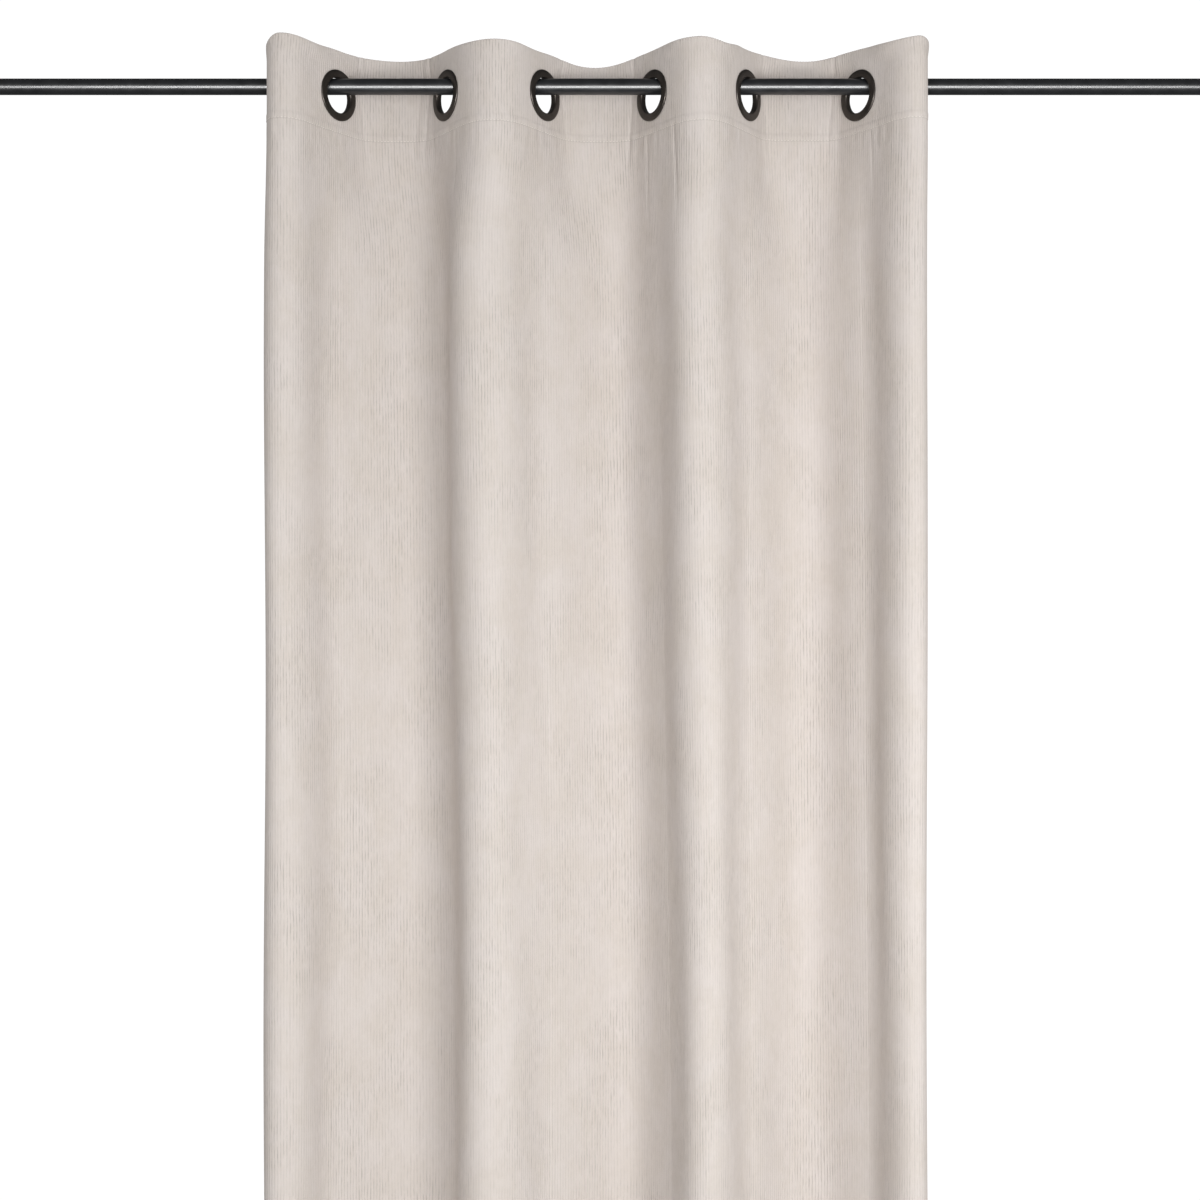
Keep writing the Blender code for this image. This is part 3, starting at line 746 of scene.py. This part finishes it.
class CURTAIN_OT_turn_sides(bpy.types.Operator):
    """Turn in the two side edges behind the cloth, between the heading and the hem"""

    bl_idname = "curtain.turn_sides"
    bl_label = "Turn in the sides"

    def execute(self, context):
        settings = context.scene.curtain_cloth
        material = bpy.data.materials["ribbed_velvet"]
        start, end = HEADING_DEPTH + 0.002, CLOTH_LENGTH - HEM_DEPTH - 0.002
        rows = FRONT_START + np.linspace(start, end, 90)
        inset = 0.0005
        left = ("left", inset, "pleat_0")
        right = ("right", CLOTH_WIDTH - SIDE_HEM - inset, f"pleat_{PLEATS - 1}")
        for side, low, body in (left, right):
            bm = flat_strip(low, low + SIDE_HEM, 24, rows, settings.thickness)
            bmesh.ops.translate(bm, vec=(0, 0, -LAYER_GAP), verts=bm.verts)
            hem = add_piece(f"side_hem_{side}", bm, material)
            name_flat_cloth(hem.data)
            hang(hem.data)
            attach(hem, body)
        return {"FINISHED"}


# ---------------------------------------------------------------- eyelets


def eyelet_place(index):
    heading = math.radians(HEADINGS[index])
    normal = (-math.sin(heading), -math.cos(heading), 0.0)
    return facing(normal, (EYELET_X[index], ROD_Y, RING_Z))


def eyelet_face_profile():
    """The ring on the face of the cloth: a flat flange, a rolled rim and a waisted barrel."""
    seat, top, hole = 0.0009, 0.0031, 0.0205
    rim, lip = 0.0010, 0.0016
    points = [(RING_RADIUS - 0.0002, seat)]
    points += arc((RING_RADIUS - rim, seat + rim), rim, -60, 80, 6)
    points += [(RING_RADIUS - 0.0035, top - 0.0002)]
    points += arc((hole + lip, top - lip), lip, 90, 180, 8)
    points += [(hole, -0.0010), (hole + 0.0003, -0.0026), (hole + 0.0011, -0.0043)]
    points += [(hole + 0.0018, -0.0043), (hole + 0.0018, seat)]
    return points[::-1]


def eyelet_back_profile():
    """The washer behind the cloth, crowned, with the barrel's end rolled over it."""
    inner, seat = 0.0220, -0.0029
    middle, half = (RING_RADIUS + inner) / 2, (RING_RADIUS - inner) / 2
    crown = []
    for step in range(13):
        angle = math.pi * step / 12
        crown.append((middle + half * math.cos(angle), seat - 0.0018 * math.sin(angle) ** 0.8))
    return crown


class CURTAIN_OT_press_eyelets(bpy.types.Operator):
    """Press the eight bronze eyelets through the heading"""

    bl_idname = "curtain.press_eyelets"
    bl_label = "Press the eyelets"

    def execute(self, context):
        settings = context.scene.curtain_metal
        material = metal_material("dark_bronze", settings.eyelet, 0.38, 0.85, 900.0)
        halves = (
            ("ring_face", eyelet_face_profile(), "eyelet_front"),
            ("ring_back", eyelet_back_profile(), "eyelet_back"),
        )
        for index in range(PLEATS):
            place = eyelet_place(index)
            for name, profile, node in halves:
                name = f"{name}_{index + 1}"
                ring = turned_piece(name, profile, place, material, settings.round_steps)
                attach(ring, f"pleat_{index}")
                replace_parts(ring, f"{node}_{index}")
        return {"FINISHED"}


# ---------------------------------------------------------------- rod and brackets


class CURTAIN_OT_fit_rod(bpy.types.Operator):
    """Fit the rod and its two end caps"""

    bl_idname = "curtain.fit_rod"
    bl_label = "Fit the rod"

    def execute(self, context):
        settings = context.scene.curtain_metal
        material = metal_material("black_lacquer", settings.rod, 0.32, 0.0, 1400.0, mirror=0.75)
        half, wall, edge = (ROD_ENDS[1] - ROD_ENDS[0]) / 2, 0.0012, 0.0003
        inner = ROD_RADIUS - wall
        profile = [(ROD_RADIUS - edge, half), (ROD_RADIUS, half - edge), (ROD_RADIUS, edge - half)]
        profile += [(ROD_RADIUS - edge, -half), (inner, -half), (inner, half)]
        centre = Vector((sum(ROD_ENDS) / 2, ROD_Y, 0.0))
        place = facing((1, 0, 0), centre)
        rod = turned_piece("rod", profile, place, material, settings.round_steps)
        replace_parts(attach(rod, "root"), "rod_tube")
        for side in ("left", "right"):
            self.make_cap(side, material, settings.round_steps)
        return {"FINISHED"}

    def make_cap(self, side, material, steps):
        low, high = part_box(f"finial_{side}")
        sign = -1 if side == "left" else 1
        end = ROD_ENDS[0] if side == "left" else ROD_ENDS[1]
        length = abs((low.x if side == "left" else high.x) - end)
        radius = (high.z - low.z) / 2
        edge, gap, rounding, cut = 0.0012, 0.0003, 0.009, 0.0007
        plug_radius, plug_length = ROD_RADIUS - 0.0015, 0.018
        nose = arc((radius - rounding, length - rounding), rounding, 90, 0, 10)
        profile = [(0.0, length), *nose]
        for groove in (0.014, 0.008):
            profile += [(radius, groove + edge), (radius - cut, groove), (radius, groove - edge)]
        profile += [(radius, edge), (radius - edge, gap), (plug_radius, gap)]
        profile += [(plug_radius, -plug_length), (0.0, -plug_length)]
        place = facing((sign, 0, 0), (end, ROD_Y, 0.0))
        cap = turned_piece(f"end_cap_{side}", profile, place, material, steps, closed=False)
        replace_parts(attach(cap, f"finial_{side}"), f"finial_{side}")


class CURTAIN_OT_fit_brackets(bpy.types.Operator):
    """Give the brackets and their screws their finish"""

    bl_idname = "curtain.fit_brackets"
    bl_label = "Fit the brackets"

    def execute(self, context):
        settings = context.scene.curtain_metal
        coat = metal_material("black_powder_coat", settings.bracket, 0.45, 0.0, 700.0)
        steel = metal_material("blackened_steel", settings.steel, 0.42, 1.0, 500.0)
        for name, node in frame["nodes"].items():
            if name.startswith(("bracket_arm", "wall_plate")):
                self.finish(node, coat, "bracket_lacquer")
            if name.startswith(("set_screw", "wall_screw")):
                self.finish(node, steel, "screw_steel")
        return {"FINISHED"}

    def finish(self, node, material, slot):
        node.data.materials.clear()
        node.data.materials.append(material)


# ---------------------------------------------------------------- stage


def add_area_light(name, at, aim, width, height, power):
    light = bpy.data.lights.new(name, "AREA")
    light.shape = "RECTANGLE"
    light.size, light.size_y = width, height
    light.energy = power
    obj = bpy.data.objects.new(name, light)
    bpy.context.scene.collection.objects.link(obj)
    turn = (Vector(aim) - Vector(at)).to_track_quat("-Z", "Y")
    obj.matrix_world = Matrix.Translation(at) @ turn.to_matrix().to_4x4()
    obj.visible_camera = False
    return obj


def make_world(lighting=0.465, behind=1.05, mirrored=-0.38):
    """A white room: pure white behind the curtain, softer where it lights and is mirrored."""
    world = bpy.data.worlds.new("white_room")
    bpy.context.scene.world = world
    world.use_nodes = True
    tree = world.node_tree
    background = tree.nodes["Background"]
    path = tree.nodes.new("ShaderNodeLightPath")
    strength = tree.nodes.new("ShaderNodeMapRange")
    strength.inputs["To Min"].default_value = lighting
    strength.inputs["To Max"].default_value = behind
    tree.links.new(path.outputs["Is Camera Ray"], strength.inputs["Value"])
    dark = tree.nodes.new("ShaderNodeMath")
    dark.operation = "MULTIPLY_ADD"
    dark.inputs[1].default_value = mirrored
    tree.links.new(path.outputs["Is Glossy Ray"], dark.inputs[0])
    tree.links.new(strength.outputs[0], dark.inputs[2])
    tree.links.new(dark.outputs[0], background.inputs["Strength"])
    background.inputs["Color"].default_value = (1.0, 1.0, 1.0, 1.0)


class CURTAIN_OT_set_stage(bpy.types.Operator):
    """Set the camera, a pale floor and soft studio light"""

    bl_idname = "curtain.set_stage"
    bl_label = "Set the stage"

    def execute(self, context):
        settings = context.scene.curtain_stage
        data = bpy.data.cameras.new("camera")
        data.sensor_width = 36.0
        data.lens = data.sensor_width * settings.camera_distance / settings.view_width
        camera = bpy.data.objects.new("camera", data)
        camera.location = (0.0, ROD_Y - settings.camera_distance, -settings.camera_drop)
        camera.rotation_euler = (math.radians(90), 0.0, 0.0)
        context.scene.collection.objects.link(camera)
        context.scene.camera = camera
        floor_radius, floor_gap = 2.4, 0.02
        bm = bmesh.new()
        bmesh.ops.create_circle(bm, cap_ends=True, segments=96, radius=floor_radius)
        level = CLOTH_TOP - CLOTH_LENGTH - floor_gap
        bmesh.ops.translate(bm, vec=(0, 0, level), verts=bm.verts)
        floor = add_piece("floor", bm, floor_material(settings))
        floor.visible_glossy = False
        cloth, rod = (0.0, ROD_Y, -0.75), (0.0, ROD_Y, -0.4)
        place = (0.8, -1.75, -0.85)
        key = add_area_light("key_light", place, cloth, 0.7, 0.7, settings.key_power)
        place = (0.0, -3.2, -0.85)
        fill = add_area_light("fill_light", place, cloth, 1.5, 1.5, settings.fill_power)
        key.visible_glossy = fill.visible_glossy = False
        place = (0.0, -3.0, -0.95)
        strip = add_area_light("rod_light", place, rod, 3.6, 0.45, settings.rod_power)
        strip.visible_diffuse = False
        make_world()
        context.scene.view_settings.view_transform = "Standard"
        return {"FINISHED"}


# ---------------------------------------------------------------- panel and registration


class CURTAIN_PT_panel(bpy.types.Panel):
    """The curtain's steps and settings"""

    bl_label = "Curtain on a rod"
    bl_idname = "CURTAIN_PT_panel"
    bl_space_type = "VIEW_3D"
    bl_region_type = "UI"
    bl_category = "Curtain"

    def draw(self, context):
        for step in STEPS:
            self.layout.operator(step.bl_idname)
        for group in SETTINGS:
            box = self.layout.box()
            for name in SETTINGS[group].__annotations__:
                box.prop(getattr(context.scene, group), name)


STEPS = (
    CURTAIN_OT_hang_cloth,
    CURTAIN_OT_turn_sides,
    CURTAIN_OT_sew_seams,
    CURTAIN_OT_press_eyelets,
    CURTAIN_OT_fit_rod,
    CURTAIN_OT_fit_brackets,
    CURTAIN_OT_set_stage,
)
SETTINGS = {
    "curtain_cloth": CurtainClothSettings,
    "curtain_metal": CurtainMetalSettings,
    "curtain_stage": CurtainStageSettings,
}


def register():
    for group, kind in SETTINGS.items():
        bpy.utils.register_class(kind)
        setattr(bpy.types.Scene, group, PointerProperty(type=kind))
    for kind in (*STEPS, CURTAIN_PT_panel):
        bpy.utils.register_class(kind)


def unregister():
    for kind in (CURTAIN_PT_panel, *reversed(STEPS)):
        bpy.utils.unregister_class(kind)
    for group, kind in SETTINGS.items():
        delattr(bpy.types.Scene, group)
        bpy.utils.unregister_class(kind)


def main():
    register()
    for step in STEPS:
        group, name = step.bl_idname.split(".")
        getattr(getattr(bpy.ops, group), name)()


if __name__ == "__main__":
    main()
